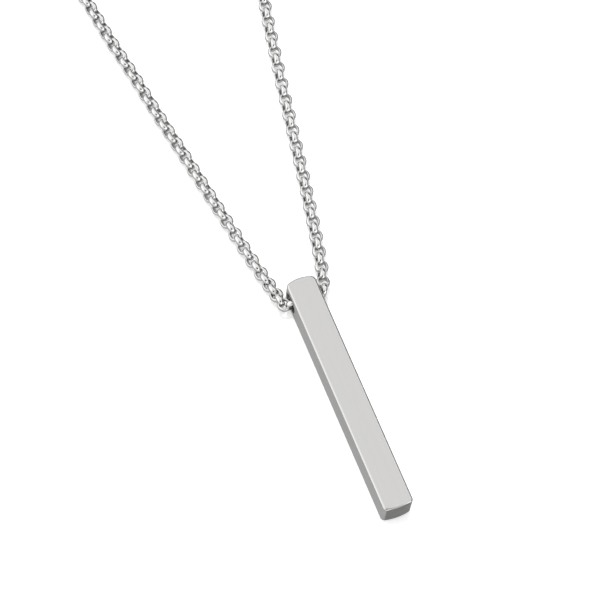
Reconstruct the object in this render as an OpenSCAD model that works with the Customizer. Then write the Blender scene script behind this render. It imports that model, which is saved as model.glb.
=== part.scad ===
// A square steel bar pendant on its box chain, laid flat with its front face up.
// Millimetres. +Z is up, +Y runs along the bar from its lower end to its pierced top end,
// and the origin is the middle of the bar's back face, which lies on the ground.

/* [Bar] */
// Length of the bar over its two arched ends
bar_l = 40; // [30:0.5:50]
// Width of the bar, side to side
bar_w = 4.8; // [4.2:0.1:6.5]
// Thickness of the bar, back to front
bar_t = 4.6; // [4.2:0.1:6.5]
// Radius of the softened edges
edge_r = 0.45; // [0.2:0.05:0.6]
// Radius of the arch of the top end
top_arch_r = 6; // [5:0.1:20]
// Radius of the two corners of the top end
top_corner_r = 0.9; // [0.65:0.05:1.6]
// Radius of the arch of the lower end
low_arch_r = 9; // [5:0.1:20]
// Radius of the two corners of the lower end
low_corner_r = 0.65; // [0.65:0.05:1.6]

/* [Bore] */
// Diameter of the bore that carries the chain from side to side
bore_d = 3.2; // [2.9:0.1:3.6]
// Distance from the tip of the top end to the bore's axis
bore_from_top = 2.8; // [2.6:0.1:6]

/* [Chain] */
// Diameter over the chain's links
chain_d = 2.2; // [1.8:0.1:2.4]
// Gap between the chain and what it rests in or ends against
chain_gap = 0.14; // [0.1:0.01:0.2]

/* [Clasp] */
// Length of the clasp's barrel
barrel_l = 5.4; // [4.5:0.1:8]
// Diameter of the clasp's barrel
barrel_d = 2.3; // [2:0.1:3]
// Radius of the softened rims of the barrel
barrel_rim_r = 0.5; // [0.2:0.05:0.8]
// Outside diameter of the ring that hooks the chain
ring_d = 5.6; // [5:0.1:7]
// Thickness of that ring's wire
ring_wire_d = 1.1; // [0.8:0.05:1.2]
// Outside diameter of the small eye at the clasp's tail
eye_d = 3.2; // [3:0.1:4]
// Thickness of the eye's wire
eye_wire_d = 0.9; // [0.7:0.05:1]

/* [Hidden] */
$fn = 96;
// Facets in a full turn of the bar's softened rims, its corners and its arched ends
rim_fn = 32;
corner_fn = 64;
arch_fn = 160;
// How far a cut runs past what it cuts
cut = 1;

bore_y = bar_l / 2 - bore_from_top;
bore_z = bar_t / 2;
// The chain lies low in the bore, leaning towards the bar's lower end by this angle, and beside
// the bar just above the ground
chain_lean = 35;
chain_lift = 0.05;
chain_r = chain_d / 2;
chain_play = bore_d / 2 - chain_r - chain_gap;
chain_in_bore_y = bore_y - chain_play * sin(chain_lean);
chain_in_bore_z = bore_z - chain_play * cos(chain_lean);
chain_rest_z = chain_r + chain_lift;

// Share of its wire's thickness by which the ring, or the eye, runs into the barrel
wire_share = 0.6;
ring_x = -barrel_l / 2 + wire_share * ring_wire_d - ring_d / 2;
eye_x = barrel_l / 2 - wire_share * eye_wire_d + eye_d / 2;
clasp_z = max(chain_rest_z, barrel_d / 2);
// The ring takes up more length than the eye, so the barrel sits off the loop's middle
clasp_x = -(ring_x - ring_d / 2 + eye_x + eye_d / 2) / 2;
clasp_half = (eye_x + eye_d / 2 - ring_x + ring_d / 2) / 2;

// The chain's route, chosen by hand: each row is a point's distance out from the bar's side
// face, its distance along from the bore's axis, and its share of the rise from the ground
// to the bore. The right strand comes first and the left one second. They part in a narrow V
// and close in a wide loop.
STRANDS = [
    [
        [0.5, 0, 1], [1.2, 1.1, 0.7], [1.6, 2.6, 0.3], [2.2, 4.2, 0], [3.35, 9.2, 0],
        [4.8, 16.4, 0], [6.15, 23.7, 0], [7.8, 32.9, 0], [9.5, 42.2, 0], [11.8, 53.7, 0],
        [15.2, 69, 0], [19.6, 85, 0], [25, 101, 0], [31, 117, 0], [37, 133, 0],
        [42.5, 149, 0], [47, 165, 0], [49.5, 181, 0], [49, 197, 0], [45, 212, 0],
        [37.5, 225, 0], [27, 235, 0], [16, 241.5, 0], [8.2, 244.2, 0]
    ],
    [
        [0.5, 0, 1], [1.2, 1, 0.7], [1.3, 2.4, 0.3], [1.6, 4.2, 0], [2.6, 9.3, 0],
        [3.65, 15.7, 0], [4.8, 22.7, 0], [6.15, 31.4, 0], [7.4, 39.1, 0], [8.6, 47.4, 0],
        [9.9, 55.3, 0], [11, 63.5, 0], [13.2, 75, 0], [17.8, 90, 0], [24, 105, 0],
        [30.5, 120, 0], [37, 135, 0], [42.5, 150, 0], [47, 165, 0], [49.5, 181, 0],
        [49, 197, 0], [45, 212, 0], [37.5, 225, 0], [27, 235, 0], [16, 241.5, 0],
        [8.2, 244.2, 0]
    ]
];
// The clasp lies a little farther along than the route's last points
clasp_ahead = 0.6;
loop_end = STRANDS[0][len(STRANDS[0]) - 1][1] + clasp_ahead;
// Sides of the tube, and the distance between its rings
tube_sides = 8;
tube_step = 8;

// Half of a round piece's section: from x = 0 out to x = reach, and t high, with its outer
// corners rounded by r in fn facets a turn
module soft_half(reach, t, r, fn) {
    square([reach - r, t]);
    translate([0, r])
        square([reach, t - 2 * r]);
    for (upper = [0, 1])
        intersection() {
            translate([reach - r, r + upper * (t - 2 * r)])
                circle(r = r, $fn = fn);
            translate([reach - r, upper * (t - r)])
                square([r, r]);
        }
}

// How far along the bar the corner's centre lies, for an end of this arch and corner
function corner_y(arch_r, corner_r) =
    bar_l / 2 - arch_r + sqrt(pow(arch_r - corner_r, 2) - pow(bar_w / 2 - corner_r, 2));

// How far the arch reaches either side of the middle, as an angle
function arch_angle(arch_r, corner_r) = asin((bar_w / 2 - corner_r) / (arch_r - corner_r));

// One end of the bar, at +Y: the arch, and a rounded corner on each side that runs into it
module bar_end(arch_r, corner_r) {
    half_angle = arch_angle(arch_r, corner_r);
    translate([0, bar_l / 2 - arch_r, 0])
        rotate(90 - half_angle)
            rotate_extrude(angle = 2 * half_angle, $fn = arch_fn)
                soft_half(arch_r, bar_t, edge_r, rim_fn);
    for (side = [-1, 1])
        translate([side * (bar_w / 2 - corner_r), corner_y(arch_r, corner_r), 0])
            rotate_extrude($fn = corner_fn)
                soft_half(corner_r, bar_t, edge_r, rim_fn);
}

module bar() {
    color([0.78, 0.78, 0.77])
        difference() {
            hull() {
                bar_end(top_arch_r, top_corner_r);
                rotate(180)
                    bar_end(low_arch_r, low_corner_r);
            }
            translate([-bar_w / 2 - cut, bore_y, bore_z])
                rotate([0, 90, 0])
                    cylinder(h = bar_w + 2 * cut, d = bore_d);
        }
}

// A route point on one side of the bar, +1 right or -1 left
function route_point(row, side) = [
    side * (bar_w / 2 + row[0]),
    bore_y + row[1],
    chain_rest_z + row[2] * (chain_in_bore_z - chain_rest_z)
];

// Where the chain meets the clasp's outer end on one side
function at_clasp(side) = [
    side * (clasp_half + chain_gap),
    bore_y + loop_end,
    chain_rest_z
];

// The whole route, from the clasp down the left strand, through the bore and back up
ROUTE = concat(
    [at_clasp(-1)],
    [for (i = [len(STRANDS[1]) - 1 : -1 : 0]) route_point(STRANDS[1][i], -1)],
    [for (side = [-1, 1]) [side * bar_w / 4, chain_in_bore_y, chain_in_bore_z]],
    [for (row = STRANDS[0]) route_point(row, 1)],
    [at_clasp(1)]
);

// A point on the smooth curve from b to c; a comes before b, and d after c
function smooth(a, b, c, d, t) =
    0.5 * (2 * b + (c - a) * t + (2 * a - 5 * b + 4 * c - d) * t * t
        + (3 * b - a - 3 * c + d) * t * t * t);

// The centres of the tube's rings: each route point, and more where points lie far apart
function ring_centres(points) = concat(
    [for (i = [0 : len(points) - 2])
        let (
            a = points[max(i - 1, 0)],
            b = points[i],
            c = points[i + 1],
            d = points[min(i + 2, len(points) - 1)],
            steps = max(1, round(norm(c - b) / tube_step))
        )
        for (k = [0 : steps - 1]) smooth(a, b, c, d, k / steps)],
    [points[len(points) - 1]]
);

function unit(v) = v / norm(v);

// One ring of the tube, square to the route at centre i
function ring_at(centres, i, r) =
    let (
        ahead = centres[min(i + 1, len(centres) - 1)],
        behind = centres[max(i - 1, 0)],
        along = unit(ahead - behind),
        sideways = unit(cross(along, [0, 0, 1])),
        upward = cross(sideways, along)
    )
    [for (k = [0 : tube_sides - 1])
        let (angle = (k + 0.5) * 360 / tube_sides)
        centres[i] + r * (cos(angle) * sideways + sin(angle) * upward)];

// A closed tube of radius r along these centres
module tube(centres, r) {
    rings = len(centres);
    wall = [
        for (i = [0 : rings - 2])
            for (k = [0 : tube_sides - 1])
                let (
                    next = (k + 1) % tube_sides,
                    a = i * tube_sides + k,
                    b = i * tube_sides + next,
                    c = (i + 1) * tube_sides + next,
                    d = (i + 1) * tube_sides + k
                )
                for (triangle = [[a, b, c], [a, c, d]]) triangle
    ];
    first_cap = [for (k = [tube_sides - 1 : -1 : 0]) k];
    last_cap = [for (k = [0 : tube_sides - 1]) (rings - 1) * tube_sides + k];
    polyhedron(
        points = [for (i = [0 : rings - 1]) each ring_at(centres, i, r)],
        faces = concat(wall, [first_cap, last_cap]),
        convexity = 10
    );
}

module chain() {
    color([0.72, 0.72, 0.71])
        tube(ring_centres(ROUTE), chain_r);
}

// A ring of round wire that lies flat, with this outside diameter
module wire_ring(outside_d, wire_d) {
    rotate_extrude()
        translate([(outside_d - wire_d) / 2, 0])
            circle(d = wire_d);
}

module clasp() {
    color([0.75, 0.75, 0.74])
        translate([clasp_x, bore_y + loop_end, clasp_z]) {
            rotate([0, 90, 0])
                translate([0, 0, -barrel_l / 2])
                    rotate_extrude()
                        soft_half(barrel_d / 2, barrel_l, barrel_rim_r, $fn);
            translate([ring_x, 0, 0])
                wire_ring(ring_d, ring_wire_d);
            translate([eye_x, 0, 0])
                wire_ring(eye_d, eye_wire_d);
        }
}

bar();
chain();
clasp();
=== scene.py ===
# %% [markdown]
# A square steel bar pendant on its box chain
#
# The pendant is one solid bar of polished steel with softened edges, pierced from side to side
# near its top end. A chain of rounded box links runs through the hole and closes in a clasp.
# Every piece here is a surface worked out with numpy: a formula gives all its points at once,
# and Blender only receives the finished mesh. Lengths are written in millimetres, as a maker
# would say them, and each mesh is brought to metres as it is made.

import math

import bmesh
import bpy
import numpy as np
from mathutils import Matrix, Vector


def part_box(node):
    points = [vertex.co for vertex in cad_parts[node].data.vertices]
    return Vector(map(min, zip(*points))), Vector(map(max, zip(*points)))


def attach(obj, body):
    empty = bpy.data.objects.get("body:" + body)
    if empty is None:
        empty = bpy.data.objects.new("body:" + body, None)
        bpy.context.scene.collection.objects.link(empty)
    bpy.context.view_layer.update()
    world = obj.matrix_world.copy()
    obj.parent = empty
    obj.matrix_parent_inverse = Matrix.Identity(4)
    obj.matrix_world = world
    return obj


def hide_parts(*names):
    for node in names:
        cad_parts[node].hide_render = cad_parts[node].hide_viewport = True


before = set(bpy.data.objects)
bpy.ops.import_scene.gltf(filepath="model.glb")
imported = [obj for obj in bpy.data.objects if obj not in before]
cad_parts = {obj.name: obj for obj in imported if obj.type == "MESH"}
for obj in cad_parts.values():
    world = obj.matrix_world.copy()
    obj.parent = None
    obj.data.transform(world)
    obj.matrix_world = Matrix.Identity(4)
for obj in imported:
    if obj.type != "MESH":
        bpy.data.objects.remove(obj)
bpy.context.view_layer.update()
MM = 0.001


def box_mm(node):
    """The lowest and highest corner of a CAD node, in millimetres."""
    low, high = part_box(node)
    return np.array(low) / MM, np.array(high) / MM


bar_low, bar_high = box_mm("bar")
clasp_low, clasp_high = box_mm("clasp")
print("bar, mm:", np.round(bar_high - bar_low, 2))
print("clasp, mm:", np.round(clasp_high - clasp_low, 2))

# %% [markdown]
# The camera
#
# A photographer laid the necklace flat and stood over it with a long lens, a little to the left
# and in front. Four facts fix such a camera: how high it looks down from, from which side, how
# far it is, and how much it is rolled. Writing those down reads better than a matrix, and each
# can be changed by itself.

# %% Place the camera
IMAGE_PIXELS = 600
FOCAL_PIXELS = 2200
SENSOR_MM = 36
CAMERA_ELEVATION = math.radians(64.44)
CAMERA_TOWARD_LEFT = math.radians(28.69)
CAMERA_ROLL = math.radians(7.69)
CAMERA_TARGET = Vector((-0.27, 18.24, 0)) * MM
CAMERA_DISTANCE = 340.8 * MM
CAMERA_CLIP = 10 * MM


def camera_axes(elevation, toward_left, roll):
    """Right, up and back of a camera. Back points from the target to the camera; right starts
    level and square to back, and roll turns right and up about back."""
    back = Vector((-math.sin(toward_left) * math.cos(elevation),
                   -math.cos(toward_left) * math.cos(elevation),
                   math.sin(elevation)))
    level = Vector((math.cos(toward_left), -math.sin(toward_left), 0))
    upright = back.cross(level)
    right = math.cos(roll) * level + math.sin(roll) * upright
    return right, back.cross(right), back


camera_data = bpy.data.cameras.new("camera")
camera_data.sensor_width = SENSOR_MM
camera_data.lens = FOCAL_PIXELS * SENSOR_MM / IMAGE_PIXELS
camera_data.clip_start = CAMERA_CLIP
camera = bpy.data.objects.new("camera", camera_data)
bpy.context.scene.collection.objects.link(camera)
right, up, back = camera_axes(CAMERA_ELEVATION, CAMERA_TOWARD_LEFT, CAMERA_ROLL)
turned = Matrix((right, up, back)).transposed().to_4x4()
camera.matrix_world = Matrix.Translation(CAMERA_TARGET + back * CAMERA_DISTANCE) @ turned
bpy.context.scene.camera = camera
print("lens, mm:", round(camera_data.lens, 1))

# %% [markdown]
# Light and reflections
#
# Polished steel has hardly any colour of its own: it shows what stands around it. In a studio
# that is a white tent with brighter and darker sides, and the dark camera looking in. The tent
# could be built of lamps and cards, but a world whose brightness depends only on direction does
# the same with no noise, and it stays put when the camera moves. Each soft patch is a smooth
# step of the angle between a direction and the patch's middle.

# %% Paint the tent into the world
TENT_BRIGHTNESS = 0.95
# Each patch: the way to its middle, its half angle in degrees, its softness and its brightness
TENT_PATCHES = [
    ((-0.85, 0.38, 0.40), 36, 18, 1.44),
    ((0.21, 0.38, 0.90), 32, 14, 1.09),
    ((0.78, 0.38, 0.50), 14, 8, 1.60),
    ((0.20, -0.95, 0.25), 30, 14, 1.60),
    ((0.90, 0.38, 0.10), 24, 5, 0.04),
    ((0.68, 0.66, 0.22), 22, 4, 0.03),
    ((-0.18, -0.63, 0.76), 18, 4, 0.02),
    ((0.93, -0.36, 0.08), 22, 6, 0.05),
]


def maths(tree, operation, first, second=None, third=None):
    """A Math node on sockets or plain numbers; gives its output socket."""
    node = tree.nodes.new("ShaderNodeMath")
    node.operation = operation
    for socket, value in zip(node.inputs, (first, second, third)):
        if isinstance(value, bpy.types.NodeSocket):
            tree.links.new(value, socket)
        elif value is not None:
            socket.default_value = value
    return node.outputs["Value"]


def smooth_step(tree, value, low, high):
    """0 below low, 1 above high, and a smooth rise between."""
    node = tree.nodes.new("ShaderNodeMapRange")
    node.interpolation_type = "SMOOTHSTEP"
    tree.links.new(value, node.inputs["Value"])
    node.inputs["From Min"].default_value = low
    node.inputs["From Max"].default_value = high
    return node.outputs["Result"]


def tent_world(brightness, patches):
    """A world whose strength is one brightness, with each patch laid over what came before."""
    world = bpy.data.worlds.new("light_tent")
    world.use_nodes = True
    tree = world.node_tree
    background = tree.nodes["Background"]
    background.inputs["Color"].default_value = (1, 1, 1, 1)
    way = tree.nodes.new("ShaderNodeTexCoord").outputs["Generated"]
    strength = None
    for middle, half_angle, softness, patch_brightness in patches:
        towards = tree.nodes.new("ShaderNodeVectorMath")
        towards.operation = "DOT_PRODUCT"
        tree.links.new(way, towards.inputs[0])
        towards.inputs[1].default_value = Vector(middle).normalized()
        mask = smooth_step(tree, towards.outputs["Value"],
                           math.cos(math.radians(half_angle + softness)),
                           math.cos(math.radians(half_angle - softness)))
        before = brightness if strength is None else strength
        gap = maths(tree, "SUBTRACT", patch_brightness, before)
        strength = maths(tree, "MULTIPLY_ADD", mask, gap, before)
    tree.links.new(strength, background.inputs["Strength"])
    return world


bpy.context.scene.world = tent_world(TENT_BRIGHTNESS, TENT_PATCHES)
bpy.context.scene.view_settings.view_transform = "Standard"
print("tent patches:", len(TENT_PATCHES))

# %% One large lamp for the shadow
# It stands a little behind the bar's top, so that the shadow falls beyond the lower end
LAMP_FROM = Vector((0.02, 0.34, 0.94))
LAMP_STRENGTH = 1.7
LAMP_SPREAD = math.radians(12)

lamp_data = bpy.data.lights.new("high_lamp", "SUN")
lamp_data.energy = LAMP_STRENGTH
lamp_data.angle = LAMP_SPREAD
lamp = bpy.data.objects.new("high_lamp", lamp_data)
lamp.rotation_euler = LAMP_FROM.to_track_quat("Z", "Y").to_euler()
# The steel should mirror the tent only, so the lamp lights the floor and no more
lamp.visible_glossy = False
bpy.context.scene.collection.objects.link(lamp)
print("lamp height, degrees:", round(math.degrees(math.asin(LAMP_FROM.normalized().z)), 1))

# %% [markdown]
# Meshes from grids
#
# Most pieces are a grid of points: one parameter runs one way, the other runs the other way,
# and four neighbours make a face. Where two such surfaces meet, their edge points are the same,
# so welding them gives one closed skin. Faces of a closed skin can then be turned outwards in
# one step.

# %% Helpers that turn arrays into pieces
WELD_MM = 0.0005


def grid_faces(rows, columns, wrap_rows, wrap_columns):
    """Corner numbers of the four-sided faces of a grid whose points are stored row by row.
    A wrapped direction joins its last line of points to its first."""
    row = np.arange(rows if wrap_rows else rows - 1)[:, None]
    column = np.arange(columns if wrap_columns else columns - 1)[None, :]
    next_row = (row + 1) % rows
    next_column = (column + 1) % columns
    corners = [row * columns + column, next_row * columns + column,
               next_row * columns + next_column, row * columns + next_column]
    return np.stack([np.broadcast_to(c, (row.size, column.size)) for c in corners], -1)


def mesh_from_arrays(name, points_mm, faces):
    """A mesh of four-sided faces from an array of points in millimetres."""
    mesh = bpy.data.meshes.new(name)
    mesh.vertices.add(len(points_mm))
    mesh.vertices.foreach_set("co", (points_mm * MM).astype(np.float32).ravel())
    mesh.loops.add(faces.size)
    mesh.loops.foreach_set("vertex_index", faces.astype(np.int32).ravel())
    mesh.polygons.add(len(faces))
    mesh.polygons.foreach_set("loop_start", np.arange(0, faces.size, 4, dtype=np.int32))
    mesh.update(calc_edges=True)
    return mesh


def weld_and_face_out(mesh):
    """Merges points that coincide, then turns every face outwards. Prints the skin's volume in
    cubic millimetres and how many of its edges are open."""
    shell = bmesh.new()
    shell.from_mesh(mesh)
    bmesh.ops.remove_doubles(shell, verts=shell.verts, dist=WELD_MM * MM)
    bmesh.ops.recalc_face_normals(shell, faces=shell.faces)
    volume = shell.calc_volume(signed=True) / MM ** 3
    open_edges = sum(not edge.is_manifold for edge in shell.edges)
    shell.to_mesh(mesh)
    shell.free()
    print(mesh.name, "volume, mm3:", round(volume, 1), "open edges:", open_edges)


def add_piece(mesh, nodes, material):
    """Shows a mesh in the place of CAD nodes, riding the one body, with its material."""
    mesh.polygons.foreach_set("use_smooth", np.ones(len(mesh.polygons), bool))
    mesh.materials.append(material)
    piece = bpy.data.objects.new(mesh.name, mesh)
    bpy.context.scene.collection.objects.link(piece)
    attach(piece, "root")
    for node in nodes:
        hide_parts(node)
    print(mesh.name, "faces:", len(mesh.polygons))


# %% [markdown]
# Steel finishes
#
# The bar is brushed along its length and then polished until only a faint grain is left. The
# links and the clasp come out of a tumbling barrel, so they are smoother, with tiny dents and
# no direction. Both finishes are built of the same two effects, so those are node groups: grain,
# which stretches a noise along one axis, and marks, a coarser noise for handling and polish.
# Two more tell one part of a piece from another. The wheel leaves the bar's soft edges smoother than
# its faces, and a third group works out from a point's place whether it is on an edge, on one of the
# two ends or on a face. The ends are darker and more uneven: the unevenness is the grinder's, and the
# darkness is painted shade for the shadowed floor that the ends mirror. A link's inside is darker as
# well, which is painted shade in its hollows; a formula on the place would have to know every link's
# turn, so there the mesh carries a layer.

# %% Effects that the steels share
def group_with_sockets(name, inputs, outputs):
    """An empty shader node group; each socket is a name, a kind and, for inputs, a value."""
    group = bpy.data.node_groups.new(name, "ShaderNodeTree")
    for label, kind, value in inputs:
        socket = group.interface.new_socket(label, in_out="INPUT", socket_type=kind)
        if value is not None:
            socket.default_value = value
    for label, kind in outputs:
        group.interface.new_socket(label, in_out="OUTPUT", socket_type=kind)
    start = group.nodes.new("NodeGroupInput")
    end = group.nodes.new("NodeGroupOutput")
    return group, start, end


def noise(tree, vector, scale, detail, roughness):
    """A noise texture on a vector socket; gives its value, about 0.5 in the middle."""
    node = tree.nodes.new("ShaderNodeTexNoise")
    tree.links.new(vector, node.inputs["Vector"])
    for label, value in (("Scale", scale), ("Detail", detail), ("Roughness", roughness)):
        if isinstance(value, bpy.types.NodeSocket):
            tree.links.new(value, node.inputs[label])
        else:
            node.inputs[label].default_value = value
    return node.outputs["Fac"]


def build_grain_group():
    """Grain: a noise on a vector that is squeezed along one axis, so that its spots become
    lines. Height is for a bump, and Shade brightens and darkens whole bundles of lines."""
    group, start, end = group_with_sockets(
        "grain",
        [("Vector", "NodeSocketVector", None),
         ("Stretch", "NodeSocketVector", (1, 1, 1)),
         ("Lines", "NodeSocketFloat", 9000),
         ("Bundles", "NodeSocketFloat", 1500)],
        [("Height", "NodeSocketFloat"), ("Shade", "NodeSocketFloat")])
    squeezed = group.nodes.new("ShaderNodeVectorMath")
    squeezed.operation = "MULTIPLY"
    group.links.new(start.outputs["Vector"], squeezed.inputs[0])
    group.links.new(start.outputs["Stretch"], squeezed.inputs[1])
    lines = noise(group, squeezed.outputs["Vector"], start.outputs["Lines"],
                  detail=4, roughness=0.6)
    bundles = noise(group, squeezed.outputs["Vector"], start.outputs["Bundles"],
                    detail=2, roughness=0.5)
    group.links.new(lines, end.inputs["Height"])
    group.links.new(bundles, end.inputs["Shade"])
    return group


def build_marks_group():
    """Marks: a soft noise for uneven polish, and small round dents where a cell pattern comes
    close to its points."""
    group, start, end = group_with_sockets(
        "marks",
        [("Vector", "NodeSocketVector", None),
         ("Polish Scale", "NodeSocketFloat", 350),
         ("Dent Scale", "NodeSocketFloat", 1800),
         ("Dent Size", "NodeSocketFloat", 0.18)],
        [("Polish", "NodeSocketFloat"), ("Dents", "NodeSocketFloat")])
    polish = noise(group, start.outputs["Vector"], start.outputs["Polish Scale"],
                   detail=3, roughness=0.55)
    cells = group.nodes.new("ShaderNodeTexVoronoi")
    group.links.new(start.outputs["Vector"], cells.inputs["Vector"])
    group.links.new(start.outputs["Dent Scale"], cells.inputs["Scale"])
    dents = group.nodes.new("ShaderNodeMapRange")
    dents.interpolation_type = "SMOOTHSTEP"
    group.links.new(cells.outputs["Distance"], dents.inputs["Value"])
    dents.inputs["From Min"].default_value = 0
    group.links.new(start.outputs["Dent Size"], dents.inputs["From Max"])
    group.links.new(polish, end.inputs["Polish"])
    group.links.new(dents.outputs["Result"], end.inputs["Dents"])
    return group


def build_block_group():
    """Block: tells a block's soft edges and its two ends from its faces. A point is past a face's
    flat where its distance from the middle is more than Flat. It is on an edge where it is past
    two of the three flats, and on an end where it is past End along y."""
    group, start, end = group_with_sockets(
        "block",
        [("Vector", "NodeSocketVector", None),
         ("Middle", "NodeSocketVector", (0, 0, 0)),
         ("Flat", "NodeSocketVector", (1, 1, 1)),
         ("End", "NodeSocketFloat", 1),
         ("Blend", "NodeSocketFloat", 0.0001)],
        [("Edge", "NodeSocketFloat"), ("Ground And Shaded End", "NodeSocketFloat")])
    moved = group.nodes.new("ShaderNodeVectorMath")
    moved.operation = "SUBTRACT"
    group.links.new(start.outputs["Vector"], moved.inputs[0])
    group.links.new(start.outputs["Middle"], moved.inputs[1])
    place = group.nodes.new("ShaderNodeSeparateXYZ")
    flat = group.nodes.new("ShaderNodeSeparateXYZ")
    group.links.new(moved.outputs["Vector"], place.inputs["Vector"])
    group.links.new(start.outputs["Flat"], flat.inputs["Vector"])

    def past(axis, limit):
        """0 on the flat and 1 past it, with a short blend."""
        far = maths(group, "ABSOLUTE", place.outputs[axis])
        over = maths(group, "SUBTRACT", far, limit)
        share = maths(group, "DIVIDE", over, start.outputs["Blend"])
        node = group.nodes.new("ShaderNodeClamp")
        group.links.new(share, node.inputs["Value"])
        return node.outputs["Result"]

    x, y, z = (past(axis, flat.outputs[axis]) for axis in "XYZ")
    flats_passed = maths(group, "ADD", maths(group, "ADD", x, y), z)
    edge = group.nodes.new("ShaderNodeClamp")
    group.links.new(maths(group, "SUBTRACT", flats_passed, 1), edge.inputs["Value"])
    group.links.new(edge.outputs["Result"], end.inputs["Edge"])
    # The end mask carries the ends' painted shade and the grinder's unevenness
    group.links.new(past("Y", start.outputs["End"]), end.inputs["Ground And Shaded End"])
    return group


GRAIN = build_grain_group()
MARKS = build_marks_group()
BLOCK = build_block_group()
print("node groups:", GRAIN.name, MARKS.name, BLOCK.name)

# %% The steel material, with a recipe for each piece
STEEL_IOR = 2.5
# Nearly all of a noise's values lie between these two
NOISE_LOW, NOISE_HIGH = 0.3, 0.7
# The ends' tone beside the faces' one: painted shade for the shadowed floor that the ends mirror, made
# uneven by the grinder; and the soft edges' share of their roughness
GRIND_AND_SHADE_TONE = (0.42, 0.58)
EDGE_ROUGHNESS_SHARE = 0.55
# The mesh's own layer that tells a link's inside, and the painted shade there: the inside's tone
# beside the crown's
CREVICE_SHADE_LAYER = "crevice_shade"
CREVICE_SHADE_TONE = 0.68
# The height of the bar's middle, and from there: where its flats end along x, y and z, where its ends
# and their painted shade start along y, and over what length both change
BAR_MIDDLE_Z = 2.3
BAR_FLAT = (1.98, 19.45, 1.88)
BAR_SHADED_END_FROM = 19.72
BAR_BLEND = 0.08


def place_group(tree, group, values):
    """Puts a node group into a material, with its own values."""
    node = tree.nodes.new("ShaderNodeGroup")
    node.node_tree = group
    for label, value in values.items():
        node.inputs[label].default_value = value
    return node


def between(tree, value, low, high):
    """A noise's usual range of values, spread from low to high."""
    node = tree.nodes.new("ShaderNodeMapRange")
    tree.links.new(value, node.inputs["Value"])
    for label, number in (("From Min", NOISE_LOW), ("From Max", NOISE_HIGH),
                          ("To Min", low), ("To Max", high)):
        node.inputs[label].default_value = number
    return node.outputs["Result"]


def steel(name, colour, tone_spread, roughness, grain_values, grain_depth, marks_values,
          dent_depth, block_values=None, has_crevice_shade=False):
    """Steel with grain and marks: the grain's bundles and the marks' polish vary the tone, the polish
    varies the roughness, and the grain's lines and the dents go into one bump. A block's soft edges
    are smoother than its faces, and its ends are darker and more uneven: the darkness is painted shade
    for the shadowed floor they mirror, and the unevenness is the grinder's. A link's inside is darker
    than its crown, which is painted shade in its hollows."""
    material = bpy.data.materials.new(name)
    material.use_nodes = True
    tree = material.node_tree
    shader = tree.nodes["Principled BSDF"]
    shader.inputs["Metallic"].default_value = 1
    shader.inputs["IOR"].default_value = STEEL_IOR
    place = tree.nodes.new("ShaderNodeTexCoord").outputs["Object"]
    grain = place_group(tree, GRAIN, grain_values)
    marks = place_group(tree, MARKS, marks_values)
    tree.links.new(place, grain.inputs["Vector"])
    tree.links.new(place, marks.inputs["Vector"])

    mottle = maths(tree, "ADD", grain.outputs["Shade"], marks.outputs["Polish"])
    mottle = maths(tree, "MULTIPLY", mottle, 0.5)
    tone = between(tree, mottle, 1 - tone_spread, 1 + tone_spread)
    rough = between(tree, marks.outputs["Polish"], *roughness)
    if block_values is not None:
        block = place_group(tree, BLOCK, block_values)
        tree.links.new(place, block.inputs["Vector"])
        # Painted shade: the ends are darker, for the shadowed floor they mirror, and the noise in it
        # is the grinder's unevenness
        grind_and_shade_tone = between(tree, marks.outputs["Polish"], *GRIND_AND_SHADE_TONE)
        change = maths(tree, "SUBTRACT", grind_and_shade_tone, 1)
        tone = maths(tree, "MULTIPLY", tone, maths(
            tree, "MULTIPLY_ADD", block.outputs["Ground And Shaded End"], change, 1))
        less = maths(tree, "MULTIPLY", block.outputs["Edge"], EDGE_ROUGHNESS_SHARE - 1)
        rough = maths(tree, "MULTIPLY", rough, maths(tree, "ADD", less, 1))
    # Painted shade: a link's inside is darker than its crown, where its hollows are shaded
    if has_crevice_shade:
        crevice_shade = tree.nodes.new("ShaderNodeAttribute")
        crevice_shade.attribute_name = CREVICE_SHADE_LAYER
        tone = maths(tree, "MULTIPLY", tone, maths(
            tree, "MULTIPLY_ADD", crevice_shade.outputs["Fac"], CREVICE_SHADE_TONE - 1, 1))
    tint = tree.nodes.new("ShaderNodeVectorMath")
    tint.operation = "SCALE"
    tint.inputs[0].default_value = colour
    tree.links.new(tone, tint.inputs["Scale"])
    tree.links.new(tint.outputs["Vector"], shader.inputs["Base Color"])
    tree.links.new(rough, shader.inputs["Roughness"])

    lines = maths(tree, "MULTIPLY", grain.outputs["Height"], grain_depth)
    height = maths(tree, "MULTIPLY_ADD", marks.outputs["Dents"], dent_depth, lines)
    bump = tree.nodes.new("ShaderNodeBump")
    bump.inputs["Strength"].default_value = 1
    bump.inputs["Distance"].default_value = MM
    tree.links.new(height, bump.inputs["Height"])
    tree.links.new(bump.outputs["Normal"], shader.inputs["Normal"])
    return material


bar_steel = steel(
    "bar_steel", colour=(0.615, 0.61, 0.60), tone_spread=0.02, roughness=(0.34, 0.40),
    grain_values={"Stretch": (1, 0.03, 1), "Lines": 9000, "Bundles": 1500}, grain_depth=0.0004,
    marks_values={"Polish Scale": 260, "Dent Scale": 1400, "Dent Size": 0.12}, dent_depth=0.0002,
    block_values={"Middle": (0, 0, BAR_MIDDLE_Z * MM), "Flat": [value * MM for value in BAR_FLAT],
                  "End": BAR_SHADED_END_FROM * MM, "Blend": BAR_BLEND * MM})
chain_steel = steel(
    "chain_steel", colour=(0.745, 0.745, 0.74), tone_spread=0.04, roughness=(0.06, 0.13),
    grain_values={"Stretch": (1, 1, 1), "Lines": 7000, "Bundles": 900}, grain_depth=0.002,
    marks_values={"Polish Scale": 700, "Dent Scale": 2500, "Dent Size": 0.15}, dent_depth=0.003,
    has_crevice_shade=True)
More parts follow.
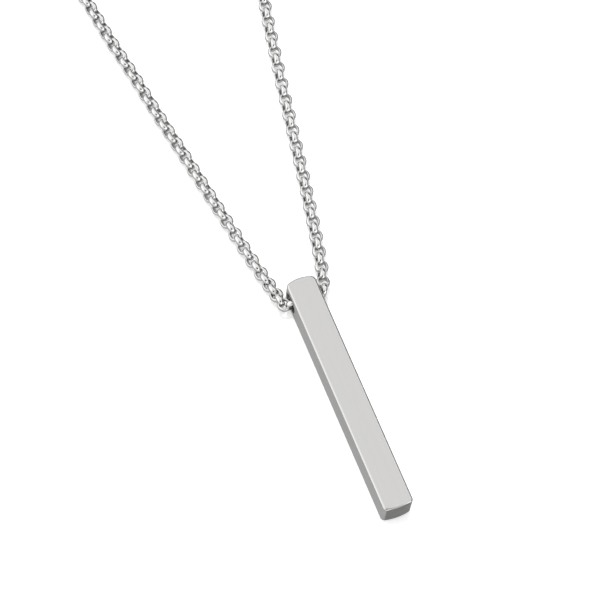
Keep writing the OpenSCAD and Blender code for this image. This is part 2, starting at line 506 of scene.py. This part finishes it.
clasp_steel = steel(
    "clasp_steel", colour=(0.66, 0.66, 0.655), tone_spread=0.03, roughness=(0.10, 0.17),
    grain_values={"Stretch": (0.05, 1, 1), "Lines": 6000, "Bundles": 900}, grain_depth=0.0015,
    marks_values={"Polish Scale": 500, "Dent Scale": 1800, "Dent Size": 0.14}, dent_depth=0.002)
print("steels:", bar_steel.name, chain_steel.name, clasp_steel.name)

# %% [markdown]
# The floor
#
# The necklace lies on a white sweep that the photographer lit until it is plain white. Seen in
# the steel it is darker than that, because the sweep near the piece gets less light. Two floors
# would get in each other's way, so one does both: for the camera it is white with a little glow
# that keeps its shadows soft, and for rays that bounce off something shiny it is an even grey.

# %% Lay the white floor
FLOOR_SIDE = 6000
FLOOR_WHITE = 0.97
FLOOR_GLOW = 0.28
# In reflections: what is left of its white, and an even glow of its own
FLOOR_IN_STEEL = 0.10
FLOOR_GLOW_IN_STEEL = 0.42


def floor_material():
    """White to the camera and to soft light, grey in reflections."""
    material = bpy.data.materials.new("white_sweep")
    material.use_nodes = True
    tree = material.node_tree
    shader = tree.nodes["Principled BSDF"]
    shader.inputs["Roughness"].default_value = 1
    shader.inputs["Specular IOR Level"].default_value = 0
    rays = tree.nodes.new("ShaderNodeLightPath")
    shade = maths(tree, "MULTIPLY_ADD", rays.outputs["Is Glossy Ray"],
                  FLOOR_IN_STEEL - FLOOR_WHITE, FLOOR_WHITE)
    tree.links.new(shade, shader.inputs["Base Color"])
    glow = maths(tree, "MULTIPLY", rays.outputs["Is Camera Ray"], FLOOR_GLOW)
    glow = maths(tree, "MULTIPLY_ADD", rays.outputs["Is Glossy Ray"], FLOOR_GLOW_IN_STEEL, glow)
    shader.inputs["Emission Color"].default_value = (1, 1, 1, 1)
    tree.links.new(glow, shader.inputs["Emission Strength"])
    return material


floor_mesh = bpy.data.meshes.new("floor")
half = FLOOR_SIDE * MM / 2
floor_mesh.from_pydata([(-half, -half, 0), (half, -half, 0), (half, half, 0), (-half, half, 0)],
                       [], [(0, 1, 2, 3)])
floor_mesh.materials.append(floor_material())
floor = bpy.data.objects.new("floor", floor_mesh)
bpy.context.scene.collection.objects.link(floor)
print("floor side, mm:", FLOOR_SIDE)

# %% [markdown]
# The bar
#
# The bar is a length of square steel whose two ends are ground to a shallow arch, with all its
# edges softened on a wheel. A cube with a bevel would give even edges but no arched ends, and a
# cut for the hole would leave long thin faces. Here the outline seen from above is carried up a
# side profile that steps inwards at the softened edges. The windows around the hole are left
# open, and a second surface blends from each square window to the round hole and runs through.

# %% Sizes of the bar
BAR_WIDTH = bar_high[0] - bar_low[0]
BAR_LENGTH = bar_high[1] - bar_low[1]
BAR_THICK = bar_high[2] - bar_low[2]
EDGE_RADIUS = 0.45
TOP_ARCH, TOP_CORNER = 6.0, 0.9
LOW_ARCH, LOW_CORNER = 9.0, 0.65
BORE_RADIUS = 1.6
BORE_FROM_TOP = 2.8
BORE_Y = BAR_LENGTH / 2 - BORE_FROM_TOP
BORE_Z = BAR_THICK / 2
# The hole's rim is rounded by this radius
BORE_LIP = 0.06
# Flat strip beside each softened edge, so that the edge's shading stays off the faces
FLAT_STRIP = 0.06
# The window starts this far below the hole's axis
WINDOW_BELOW = 1.95
EDGE_STEPS, WINDOW_STEPS, CORNER_STEPS, ARCH_STEPS = 10, 12, 10, 12
SIDE_STEPS, LIP_STEPS = 15, 5
# The window runs this many steps into the corner's arc, so that it clears the hole
WINDOW_IN_CORNER = 2
# The sleeve's rings between the square window and the round lip, as shares of the way
SLEEVE_SHARES = (0, 0.3, 0.6, 0.85)
print("hole's axis, mm: along", round(BORE_Y, 2), "up", round(BORE_Z, 2))


# %% The bar's outline and side profile
def end_outline(arch_radius, corner_radius, turn_up):
    """Points and outward directions of the right half of one end, from the side to the middle:
    a corner arc, then the shallow arch that it runs into. turn_up is +1 or -1."""
    middle = BAR_LENGTH / 2 - arch_radius
    reach = BAR_WIDTH / 2 - corner_radius
    corner_y = middle + math.sqrt((arch_radius - corner_radius) ** 2 - reach ** 2)
    arch_angle = math.asin(reach / (arch_radius - corner_radius))
    corner = np.linspace(math.pi / 2, arch_angle, CORNER_STEPS + 1)
    arch = arch_angle * (1 - (np.arange(ARCH_STEPS) + 0.5) / ARCH_STEPS)
    angle = np.concatenate([corner, arch])
    radius = np.where(np.arange(angle.size) <= CORNER_STEPS, corner_radius, arch_radius)
    centre_x = np.where(radius == corner_radius, reach, 0.0)
    centre_y = np.where(radius == corner_radius, corner_y, middle)
    outward = np.stack([np.sin(angle), np.cos(angle)], -1)
    points = np.stack([centre_x, centre_y], -1) + radius[:, None] * outward
    return points * (1, turn_up), outward * (1, turn_up)


def bar_outline():
    """The whole outline, anticlockwise from the middle of the low end: low end, right side, top
    end, then the same mirrored. Gives points, outward directions and where the window starts."""
    top_points, top_out = end_outline(TOP_ARCH, TOP_CORNER, 1)
    low_points, low_out = end_outline(LOW_ARCH, LOW_CORNER, -1)
    window = np.linspace(BORE_Y - WINDOW_BELOW, top_points[0, 1],
                         WINDOW_STEPS - WINDOW_IN_CORNER + 1)[:-1]
    low_side = np.linspace(low_points[0, 1] + FLAT_STRIP, window[0], SIDE_STEPS + 1)[:-1]
    side_y = np.concatenate([low_side, window])
    side = np.stack([np.full(side_y.size, BAR_WIDTH / 2), side_y], -1)
    side_out = np.tile([1.0, 0.0], (side_y.size, 1))
    right = np.concatenate([low_points[::-1], side, top_points])
    right_out = np.concatenate([low_out[::-1], side_out, top_out])
    first = len(low_points) + low_side.size
    mirror = (-1, 1)
    outline = np.concatenate([right, right[::-1] * mirror])
    outward = np.concatenate([right_out, right_out[::-1] * mirror])
    return outline, outward, first


def bar_profile():
    """How far in and how high the skin is, from the strip on the back face to the strip on the
    front face: a quarter turn, the flat side and another quarter turn."""
    turn = np.linspace(0, math.pi / 2, EDGE_STEPS + 1)
    edge_in = EDGE_RADIUS * (1 - np.sin(turn))
    edge_up = EDGE_RADIUS * (1 - np.cos(turn))
    flat = np.linspace(EDGE_RADIUS + FLAT_STRIP, BAR_THICK - EDGE_RADIUS - FLAT_STRIP,
                       WINDOW_STEPS + 1)
    inset = np.concatenate([[EDGE_RADIUS + FLAT_STRIP], edge_in, np.zeros(flat.size),
                            edge_in[::-1], [EDGE_RADIUS + FLAT_STRIP]])
    height = np.concatenate([[0], edge_up, flat, BAR_THICK - edge_up[::-1], [BAR_THICK]])
    return inset, height, EDGE_STEPS + 2


def bore_surface(window, window_z):
    """A sleeve from the right window to the left one. Around it run the window's own points;
    along it the window closes to a circle, rounds the lip, crosses the bar and opens again."""
    there, back_again = np.arange(WINDOW_STEPS), np.arange(WINDOW_STEPS, 0, -1)
    first, last = np.zeros(WINDOW_STEPS, int), np.full(WINDOW_STEPS, WINDOW_STEPS)
    column = np.concatenate([there, last, back_again, first])
    level = np.concatenate([first, there, last, back_again])
    around = np.concatenate([window[column], window_z[level, None]], -1)
    centre = np.array([BORE_Y, BORE_Z])
    way = around[:, 1:] - centre
    way /= np.linalg.norm(way, axis=1, keepdims=True)
    turn = np.linspace(0, math.pi / 2, LIP_STEPS + 1)[:, None, None]
    lip_x = BAR_WIDTH / 2 - BORE_LIP * (1 - np.cos(turn))
    lip_yz = centre + (BORE_RADIUS + BORE_LIP * (1 - np.sin(turn))) * way
    lip = np.concatenate([np.broadcast_to(lip_x, lip_yz.shape[:2] + (1,)), lip_yz], -1)
    share = np.array(SLEEVE_SHARES)[:, None, None]
    right_half = np.concatenate([(1 - share) * around + share * lip[0], lip])
    return np.concatenate([right_half, right_half[::-1] * (-1, 1, 1)])


# %% Build the bar
def bar_mesh():
    """The carried outline without its two windows, a ladder of faces across the front and the
    back, and the sleeve through the hole, welded into one skin."""
    outline, outward, first = bar_outline()
    inset, height, sill = bar_profile()
    count, levels = len(outline), len(height)
    plan = outline[:, None, :] - outward[:, None, :] * inset[None, :, None]
    rise = np.broadcast_to(height[None, :, None], (count, levels, 1))
    skin = np.concatenate([plan, rise], -1)
    faces = grid_faces(count, levels, True, False)
    keep = np.ones(faces.shape[:2], bool)
    keep[first:first + WINDOW_STEPS, sill:sill + WINDOW_STEPS] = False
    keep[count - 1 - first - WINDOW_STEPS:count - 1 - first, sill:sill + WINDOW_STEPS] = False
    rung = np.arange(count // 2 - 1)
    ladder = np.stack([rung, rung + 1, count - 2 - rung, count - 1 - rung], -1) * levels
    sleeve = bore_surface(outline[first:first + WINDOW_STEPS + 1],
                          height[sill:sill + WINDOW_STEPS + 1])
    sleeve_faces = grid_faces(sleeve.shape[0], sleeve.shape[1], False, True)
    points = np.concatenate([skin.reshape(-1, 3), sleeve.reshape(-1, 3)])
    all_faces = np.concatenate([
        faces[keep], ladder, ladder + levels - 1, sleeve_faces.reshape(-1, 4) + count * levels])
    mesh = mesh_from_arrays("square_bar", points, all_faces)
    weld_and_face_out(mesh)
    return mesh


add_piece(bar_mesh(), ["bar"], bar_steel)

# %% [markdown]
# The chain's route
#
# The chain comes out of the hole on both sides, turns up beside the bar, parts in a narrow V and
# closes in a wide loop at the clasp. The route is the model's own list of chosen points, joined
# by a curve that passes through every one of them. Measuring along that curve lets each link be
# placed by its distance from the hole, as one would count links with a ruler.

# %% The route's points
# Each row: out from the bar's side face, along from the hole, share of the rise to the hole
STRANDS = [
    [
        [0.5, 0, 1], [1.2, 1.1, 0.7], [1.6, 2.6, 0.3], [2.2, 4.2, 0], [3.35, 9.2, 0],
        [4.8, 16.4, 0], [6.15, 23.7, 0], [7.8, 32.9, 0], [9.5, 42.2, 0], [11.8, 53.7, 0],
        [15.2, 69, 0], [19.6, 85, 0], [25, 101, 0], [31, 117, 0], [37, 133, 0],
        [42.5, 149, 0], [47, 165, 0], [49.5, 181, 0], [49, 197, 0], [45, 212, 0],
        [37.5, 225, 0], [27, 235, 0], [16, 241.5, 0], [8.2, 244.2, 0],
    ],
    [
        [0.5, 0, 1], [1.2, 1, 0.7], [1.3, 2.4, 0.3], [1.6, 4.2, 0], [2.6, 9.3, 0],
        [3.65, 15.7, 0], [4.8, 22.7, 0], [6.15, 31.4, 0], [7.4, 39.1, 0], [8.6, 47.4, 0],
        [9.9, 55.3, 0], [11, 63.5, 0], [13.2, 75, 0], [17.8, 90, 0], [24, 105, 0],
        [30.5, 120, 0], [37, 135, 0], [42.5, 150, 0], [47, 165, 0], [49.5, 181, 0],
        [49, 197, 0], [45, 212, 0], [37.5, 225, 0], [27, 235, 0], [16, 241.5, 0],
        [8.2, 244.2, 0],
    ],
]
CHAIN_RADIUS = 1.1
CHAIN_REST_Z = 1.15
CHAIN_GAP = 0.14
# In the hole the chain lies low, off the hole's wall by the gap, leaning to the bar's low end
CHAIN_LEAN = math.radians(35)
CHAIN_PLAY = BORE_RADIUS - CHAIN_RADIUS - CHAIN_GAP
CHAIN_IN_BORE_Y = BORE_Y - CHAIN_PLAY * math.sin(CHAIN_LEAN)
CHAIN_IN_BORE_Z = BORE_Z - CHAIN_PLAY * math.cos(CHAIN_LEAN)
CLASP_Y = (clasp_low[1] + clasp_high[1]) / 2
ROUTE_STEPS = 60


def strand_points(rows, side):
    """A strand's rows as points; side is +1 on the right and -1 on the left."""
    out, along, share = np.array(rows, float).T
    rise = CHAIN_REST_Z + share * (CHAIN_IN_BORE_Z - CHAIN_REST_Z)
    return np.stack([side * (BAR_WIDTH / 2 + out), BORE_Y + along, rise], -1)


def smooth_route(points, steps):
    """A curve through every point: between two of them it is the cubic that leaves along the
    line from the point before, and arrives along the line to the point after."""
    index = np.arange(len(points) - 1)
    a, b = points[np.maximum(index - 1, 0)], points[index]
    c, d = points[index + 1], points[np.minimum(index + 2, len(points) - 1)]
    a, b, c, d = (v[:, None, :] for v in (a, b, c, d))
    t = (np.arange(steps) / steps)[None, :, None]
    curve = 0.5 * (2 * b + (c - a) * t + (2 * a - 5 * b + 4 * c - d) * t ** 2
                   + (3 * b - a - 3 * c + d) * t ** 3)
    return np.concatenate([curve.reshape(-1, 3), points[-1:]])


right_strand = strand_points(STRANDS[0], 1)
left_strand = strand_points(STRANDS[1], -1)
in_bore = np.array([[side * BAR_WIDTH / 4, CHAIN_IN_BORE_Y, CHAIN_IN_BORE_Z]
                    for side in (-1, 1)])
at_clasp = [
    [clasp_low[0] - CHAIN_GAP, CLASP_Y, CHAIN_REST_Z],
    [clasp_high[0] + CHAIN_GAP, CLASP_Y, CHAIN_REST_Z],
]
route = smooth_route(np.concatenate([
    at_clasp[:1], left_strand[::-1], in_bore, right_strand, at_clasp[1:]]), ROUTE_STEPS)
route_length = np.concatenate([[0], np.cumsum(np.linalg.norm(np.diff(route, axis=0), axis=1))])
bore_index = (len(left_strand) + 1) * ROUTE_STEPS + ROUTE_STEPS // 2
route_length -= route_length[bore_index]
print("route, mm: left", round(-route_length[0], 1), "right", round(route_length[-1], 1))

# %% [markdown]
# One link
#
# A rounded box link is a short length of half-round wire bent into a ring: its hole is a square with
# soft corners, its outside is nearly a circle, and the wire is flat inside and crowned outside. A
# torus has the wrong hole and the wrong wire. So the surface goes twice round: once round the ring,
# where both outlines are curves whose roundness is set by one exponent, and once round the wire, which
# moves the point between the two outlines and to either side. How far a point lies from the wall of
# the hole also sets how much painted shade it gets.

# %% The link's surface
# Half length, half width and exponent of the hole's outline and of the link's own
HOLE_HALF_LENGTH, HOLE_HALF_WIDTH, HOLE_EXPONENT = 0.72, 0.66, 3.0
LINK_HALF_LENGTH, LINK_HALF_WIDTH, LINK_EXPONENT = 1.16, 1.14, 2.15
WIRE_HALF_WIDTH = 0.50
# How far out of the wall the wire is widest, and the roundness of its two halves
WIRE_WIDEST = 0.12
WIRE_FLATNESS, WIRE_CROWN = 0.5, 1.0
# How far out of the wall the painted shade of the inside fades
CREVICE_SHADE_REACH = 0.3
print("link, mm: length", 2 * LINK_HALF_LENGTH, "wire width", 2 * WIRE_HALF_WIDTH)


def outline_radius(turn, half_length, half_width, exponent):
    """How far out the outline lies in each direction: an exponent of 2 gives an ellipse, and a
    higher one squares its corners."""
    return (np.abs(np.cos(turn) / half_length) ** exponent
            + np.abs(np.sin(turn) / half_width) ** exponent) ** (-1 / exponent)


def link_surface(ring_steps, wire_steps):
    """Points of one link, ring_steps by wire_steps by 3, with its length along x and its hole
    along z. Round the wire, the outer half is an ellipse and the inner half a flattened one.
    Also gives how much painted shade each point gets for lying inside: 1 on the wall of the hole, 0 on
    the crown."""
    turn = (np.arange(ring_steps) + 0.5)[:, None] * 2 * math.pi / ring_steps
    round_wire = np.arange(wire_steps)[None, :] * 2 * math.pi / wire_steps
    hole = outline_radius(turn, HOLE_HALF_LENGTH, HOLE_HALF_WIDTH, HOLE_EXPONENT)
    outside = outline_radius(turn, LINK_HALF_LENGTH, LINK_HALF_WIDTH, LINK_EXPONENT)
    sine, cosine = np.sin(round_wire), np.cos(round_wire)
    inner = sine < 0
    roundness = np.where(inner, WIRE_FLATNESS, WIRE_CROWN)
    depth = np.where(inner, -WIRE_WIDEST, 1 - WIRE_WIDEST)
    share = WIRE_WIDEST + depth * np.abs(sine) ** roundness
    lift = WIRE_HALF_WIDTH * np.sign(cosine) * np.abs(cosine) ** roundness
    radius = hole + (outside - hole) * share
    points = np.stack(np.broadcast_arrays(
        radius * np.cos(turn), radius * np.sin(turn), lift), -1)
    # Painted shade for the inside: full on the wall of the hole, fading out to none at the reach
    crevice_shade = np.broadcast_to(np.clip(1 - share / CREVICE_SHADE_REACH, 0, 1), points.shape[:2])
    return points, crevice_shade


# %% [markdown]
# Every link in its place
#
# Links lie alternately flat and upright. Where the camera sees them, the flat ones are counted
# and measured, so a short table gives the distance along the route at which some links lie, and
# the rest fall evenly between. A second table gives how far the links are rolled about the
# chain's length and how far they sit beside its middle, because a chain that is laid down by
# hand is never quite free of twist. A small random roll keeps neighbours from looking alike.

# %% Number the links and place them
# Each pair: the link's number, its distance along the route. Even links lie flat.
LINK_PLACES = np.array([
    [-215, -277.95], [-214, -276.4], [-54, -65.44], [-46, -54.95], [-38, -44.38],
    [-30, -33.84], [-22, -23.30], [-16, -15.41], [-12, -10.2], [-10, -7.9], [-8, -5.7],
    [-6, -3.4], [-4, -0.8], [-2, 2.05], [0, 5.2], [2, 8.11], [8, 16.13], [12, 21.57],
    [16, 27.09], [20, 32.73], [24, 38.52], [28, 44.62], [36, 56.5], [198, 275.85],
    [199, 277.4]])
# Each row: distance along the route, roll of the flat links and of the upright ones in degrees,
# and how far each of the two kinds lies to one side of the route in millimetres
LINK_ROLLS = np.array([
    [-278, 0, 0, 0, 0], [-150, 10, 10, 0, 0], [-66, 43, 42, 0, 0.05], [-40, 43, 43, 0, 0.05],
    [-23, 40, 44, 0, 0.1], [-20, 31, 28, 0, 0.1], [-8, 31, 28, 0, 0.1], [-4, 15, 0, 0, 0],
    [4, 0, 5, 0, 0], [6, 4, 12, 0, 0.15], [20, 0, 12, 0, 0.15], [60, 0, 13, 0, 0.1],
    [150, 0, 5, 0, 0], [278, 0, 0, 0, 0]])
# Every link's own small roll in degrees, up to this much either way
LOOSE_ROLL = 4.0
LOOSE_SEED = 7
# The two end links are longer, to reach into the clasp
END_LINK_STRETCH = 1.4
# A link points along the line between the route's points this far before and after it
LINK_REACH = 0.5

number = np.arange(int(LINK_PLACES[0, 0]), int(LINK_PLACES[-1, 0]) + 1)
distance = np.interp(number, LINK_PLACES[:, 0], LINK_PLACES[:, 1])
flat_link = number % 2 == 0
flat_roll, upright_roll, flat_aside, upright_aside = (
    np.interp(distance, LINK_ROLLS[:, 0], column) for column in LINK_ROLLS[:, 1:].T)
roll = np.where(flat_link, flat_roll, upright_roll)
aside = np.where(flat_link, flat_aside, upright_aside)
roll += np.random.default_rng(LOOSE_SEED).uniform(-LOOSE_ROLL, LOOSE_ROLL, number.size)
stretch = np.where((number == number[0]) | (number == number[-1]), END_LINK_STRETCH, 1.0)
print("links:", number.size, "spacing, mm:", round(np.diff(distance)[1:-1].min(), 3), "to",
      round(np.diff(distance)[1:-1].max(), 3))


def route_at(lengths):
    """Points of the route at these distances, running straight on past both ends."""
    held = np.clip(lengths, route_length[0], route_length[-1])
    points = np.stack([np.interp(held, route_length, route[:, k]) for k in range(3)], -1)
    first = (route[1] - route[0]) / np.linalg.norm(route[1] - route[0])
    last = (route[-1] - route[-2]) / np.linalg.norm(route[-1] - route[-2])
    before = np.minimum(lengths - route_length[0], 0)[:, None] * first
    after = np.maximum(lengths - route_length[-1], 0)[:, None] * last
    return points + before + after


def link_frames():
    """Centre and three directions of every link: along the route, across the ring and through
    its hole. A flat link's hole looks up and an upright one's looks sideways; roll turns both."""
    centre = route_at(distance)
    along = route_at(distance + LINK_REACH) - route_at(distance - LINK_REACH)
    along /= np.linalg.norm(along, axis=1, keepdims=True)
    across = np.cross([0, 0, 1.0], along)
    across /= np.linalg.norm(across, axis=1, keepdims=True)
    upward = np.cross(along, across)
    centre = centre + aside[:, None] * across
    angle = np.radians(roll) + np.where(flat_link, 0, math.pi / 2)
    cosine, sine = np.cos(angle)[:, None], np.sin(angle)[:, None]
    return centre, along, cosine * across + sine * upward, cosine * upward - sine * across


centre, along, across, through = link_frames()

# %% Join the links into two pieces
# The links that the camera sees, by number, and the steps round the ring and round the wire
SEEN_FROM, SEEN_TO = -58, 46
SEEN_STEPS = (16, 10)
FAR_STEPS = (10, 6)


def chain_mesh(name, chosen, ring_steps, wire_steps):
    """All the chosen links as one mesh: each link's points are its centre plus its three
    directions, times the surface's own x, y and z."""
    shape, crevice_shade = link_surface(ring_steps, wire_steps)
    shape = shape.reshape(-1, 3)
    x = shape[None, :, 0:1] * (stretch[chosen, None, None] * along[chosen, None, :])
    y = shape[None, :, 1:2] * across[chosen, None, :]
    z = shape[None, :, 2:3] * through[chosen, None, :]
    points = centre[chosen, None, :] + x + y + z
    one = grid_faces(ring_steps, wire_steps, True, True).reshape(-1, 4)
    start = np.arange(chosen.sum())[:, None, None] * len(shape)
    mesh = mesh_from_arrays(name, points.reshape(-1, 3), (one[None] + start).reshape(-1, 4))
    # A layer of painted shade for each link's inside
    layer = mesh.attributes.new(CREVICE_SHADE_LAYER, "FLOAT", "POINT")
    layer.data.foreach_set("value", np.tile(crevice_shade.ravel(), chosen.sum()).astype(np.float32))
    weld_and_face_out(mesh)
    return mesh


seen = (number >= SEEN_FROM) & (number <= SEEN_TO)
for name, chosen, steps in (("chain_links_by_bar", seen, SEEN_STEPS),
                            ("chain_links_of_loop", ~seen, FAR_STEPS)):
    add_piece(chain_mesh(name, chosen, *steps), ["chain"], chain_steel)

# %% [markdown]
# The clasp
#
# The clasp lies out of the picture, so it is one plain piece: a barrel with a ring at one end
# and a small eye at the other. All three are surfaces of revolution. The barrel turns a profile
# with soft rims about its length, and the ring and eye turn a round wire about an upright axis.

# %% Build the clasp
BARREL_LENGTH, BARREL_DIAMETER, BARREL_RIM = 5.4, 2.3, 0.5
RING_DIAMETER, RING_WIRE = 5.6, 1.1
EYE_DIAMETER, EYE_WIRE = 3.2, 0.9
# The ring's wire runs into the barrel by this share of its thickness
WIRE_SHARE = 0.6
# The rings across the barrel's flat end, as shares of that flat's radius
END_SHARES = (0, 0.5, 0.95)
ROUND_STEPS, WIRE_STEPS, RIM_STEPS = 64, 24, 10


def wire_ring(centre_x, diameter, wire):
    """A round wire turned about an upright axis: out from the axis by the ring's middle radius
    plus the wire's cosine, and up by the wire's sine."""
    turn = np.arange(ROUND_STEPS)[:, None] * 2 * math.pi / ROUND_STEPS
    round_wire = np.arange(WIRE_STEPS)[None, :] * 2 * math.pi / WIRE_STEPS
    radius = (diameter - wire) / 2 + wire / 2 * np.cos(round_wire)
    points = np.stack(np.broadcast_arrays(
        centre_x + radius * np.cos(turn), radius * np.sin(turn), wire / 2 * np.sin(round_wire)), -1)
    return points, grid_faces(ROUND_STEPS, WIRE_STEPS, True, True)


def barrel(centre_x):
    """A closed profile turned about x: from the axis out along one end, round the soft rim,
    along the side and back in."""
    turn = np.linspace(0, math.pi / 2, RIM_STEPS + 1)
    rim_out = BARREL_DIAMETER / 2 - BARREL_RIM * (1 - np.sin(turn))
    rim_in = BARREL_RIM * (1 - np.cos(turn))
    inner = np.array(END_SHARES) * (BARREL_DIAMETER / 2 - BARREL_RIM)
    radius = np.concatenate([inner, rim_out, [BARREL_DIAMETER / 2] * 2, rim_out[::-1], inner[::-1]])
    half_side = BARREL_LENGTH / 2 - BARREL_RIM - FLAT_STRIP
    x = np.concatenate([np.full(inner.size, -BARREL_LENGTH / 2), -BARREL_LENGTH / 2 + rim_in,
                        [-half_side, half_side], BARREL_LENGTH / 2 - rim_in[::-1],
                        np.full(inner.size, BARREL_LENGTH / 2)])
    around = np.arange(ROUND_STEPS)[None, :] * 2 * math.pi / ROUND_STEPS
    points = np.stack(np.broadcast_arrays(
        centre_x + x[:, None], radius[:, None] * np.cos(around), radius[:, None] * np.sin(around)), -1)
    return points, grid_faces(len(x), ROUND_STEPS, False, True)


def clasp_mesh():
    """Ring, barrel and eye in a row, each running a little into the next."""
    ring_x = clasp_low[0] + RING_DIAMETER / 2
    eye_x = clasp_high[0] - EYE_DIAMETER / 2
    barrel_x = ring_x + RING_DIAMETER / 2 - WIRE_SHARE * RING_WIRE + BARREL_LENGTH / 2
    parts = [wire_ring(ring_x, RING_DIAMETER, RING_WIRE), barrel(barrel_x),
             wire_ring(eye_x, EYE_DIAMETER, EYE_WIRE)]
    sizes = np.cumsum([0] + [points.size // 3 for points, _ in parts])
    points = np.concatenate([points.reshape(-1, 3) for points, _ in parts])
    faces = np.concatenate([f.reshape(-1, 4) + s for (_, f), s in zip(parts, sizes)])
    points = points + (0, CLASP_Y, (clasp_low[2] + clasp_high[2]) / 2)
    mesh = mesh_from_arrays("barrel_clasp", points, faces)
    weld_and_face_out(mesh)
    return mesh


add_piece(clasp_mesh(), ["clasp"], clasp_steel)
